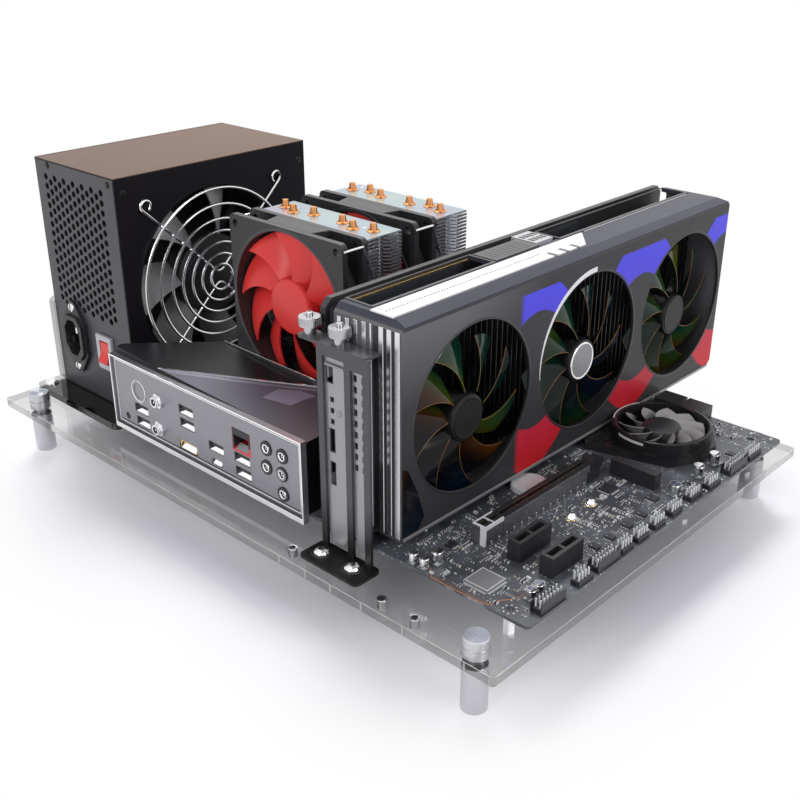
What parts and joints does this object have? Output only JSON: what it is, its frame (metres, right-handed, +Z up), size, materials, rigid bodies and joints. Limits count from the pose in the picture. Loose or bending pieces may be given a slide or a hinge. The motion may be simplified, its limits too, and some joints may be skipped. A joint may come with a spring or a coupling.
{
  "type": "acrylic computer case",
  "caption": "Open-frame computer case: clear acrylic plate on round metal feet with the computer mounted on it, power supply upright, tower cooler and long graphics card",
  "frame": {"origin": "bottom centre of the whole, on the surface that the feet stand on", "axes": "+X along the long edge from the power supply to the board's free edge, +Y from the rear ports to the far edge, +Z up"},
  "size_m": [0.41, 0.3276, 0.1845],
  "materials": {
    "clear_acrylic": "polished clear acrylic",
    "satin_aluminium": "satin turned",
    "bright_metal": "bright",
    "black_steel": "satin powder coat",
    "brown_steel": "satin powder coat",
    "black_plastic": "matt moulded",
    "grey_plastic": "satin moulded",
    "red_plastic": "gloss moulded",
    "light_plastic": "satin moulded",
    "white_plastic": "gloss",
    "board": "dark solder mask",
    "shield_metal": "satin sheet",
    "shroud_black": "satin moulded",
    "anthracite": "satin",
    "gold": "plated",
    "copper": "bare copper",
    "fin_aluminium": "bright sheet"
  },
  "bodies": {
    "case": {"base_plate": "clear_acrylic", "foot_posts": "satin_aluminium", "foot_caps": "satin_aluminium", "plate_inserts": "bright_metal", "board_standoffs": "bright_metal", "psu_bracket": "clear_acrylic", "dome_screws": "bright_metal", "psu_chassis": "black_steel", "psu_cover": "brown_steel", "psu_fan_frame": "black_plastic", "psu_grille": "bright_metal", "psu_inlet": "black_plastic", "psu_inlet_pins": "bright_metal", "switch_bezel": "light_plastic", "motherboard": "board", "io_shield": "shield_metal", "io_cover": "anthracite", "usb_ports": "bright_metal", "network_port": "red_plastic", "display_port": "gold", "audio_jacks": "black_plastic", "antenna_sockets": "bright_metal", "keyboard_port": "shield_metal", "cpu_socket": "shield_metal", "memory_slots": "black_plastic", "sata_ports": "black_plastic", "board_power_socket": "black_plastic", "main_slot": "black_plastic", "second_slot": "shield_metal", "short_slots": "black_plastic", "chipset_cover": "shroud_black", "pin_headers": "black_plastic", "can_capacitors": "satin_aluminium", "edge_connector": "black_plastic", "m2_posts": "gold", "cooler_base": "satin_aluminium", "heat_pipes": "copper", "fins_front": "fin_aluminium", "fins_rear": "fin_aluminium", "fan_frame_front": "black_plastic", "fan_frame_rear": "black_plastic", "fan_clips": "bright_metal", "card_board": "board", "card_backplate": "black_steel", "card_shroud": "shroud_black", "card_heatsink": "fin_aluminium", "card_top_strip": "white_plastic", "card_power_socket": "light_plastic", "card_plate": "shield_metal", "slot_bracket": "black_steel", "thumb_screws": "bright_metal"},
    "psu_rotor_body": {"psu_rotor": "grey_plastic"},
    "rotor_front_body": {"rotor_front": "red_plastic"},
    "rotor_rear_body": {"rotor_rear": "red_plastic"},
    "card_rotor_1_body": {"card_rotor_1": "shroud_black"},
    "card_rotor_2_body": {"card_rotor_2": "shroud_black"},
    "card_rotor_3_body": {"card_rotor_3": "shroud_black"},
    "chipset_rotor_body": {"chipset_rotor": "black_plastic"},
    "switch_rocker_body": {"switch_rocker": "red_plastic"},
    "slot_latch_body": {"slot_latch": "black_plastic"}
  },
  "joints": [
    {"name": "psu_rotor_spin", "type": "hinge", "parent": "case", "child": "psu_rotor_body", "pos_m": [-0.125, -0.0563, 0.1105], "axis": [1, 0, 0], "continuous": true},
    {"name": "rotor_front_spin", "type": "hinge", "parent": "case", "child": "rotor_front_body", "pos_m": [0, -0.0838, 0.126], "axis": [0, -1, 0], "continuous": true},
    {"name": "rotor_rear_spin", "type": "hinge", "parent": "case", "child": "rotor_rear_body", "pos_m": [0, -0.0308, 0.126], "axis": [0, -1, 0], "continuous": true},
    {"name": "card_rotor_1_spin", "type": "hinge", "parent": "case", "child": "card_rotor_1_body", "pos_m": [0.113, -0.0812, 0.095], "axis": [1, 0, 0], "continuous": true},
    {"name": "card_rotor_2_spin", "type": "hinge", "parent": "case", "child": "card_rotor_2_body", "pos_m": [0.113, 0.0176, 0.095], "axis": [1, 0, 0], "continuous": true},
    {"name": "card_rotor_3_spin", "type": "hinge", "parent": "case", "child": "card_rotor_3_body", "pos_m": [0.113, 0.1164, 0.095], "axis": [1, 0, 0], "continuous": true},
    {"name": "chipset_rotor_spin", "type": "hinge", "parent": "case", "child": "chipset_rotor_body", "pos_m": [0.1525, 0.0552, 0.048], "axis": [0, 0, 1], "continuous": true},
    {"name": "switch_rock", "type": "hinge", "parent": "case", "child": "switch_rocker_body", "pos_m": [-0.1372, -0.1214, 0.0702], "axis": [1, 0, 0], "range_deg": [0, 14]},
    {"name": "slot_latch_press", "type": "hinge", "parent": "case", "child": "slot_latch_body", "pos_m": [0.1455, -0.0076, 0.046], "axis": [1, 0, 0], "range_deg": [-25, 0]}
  ]
}
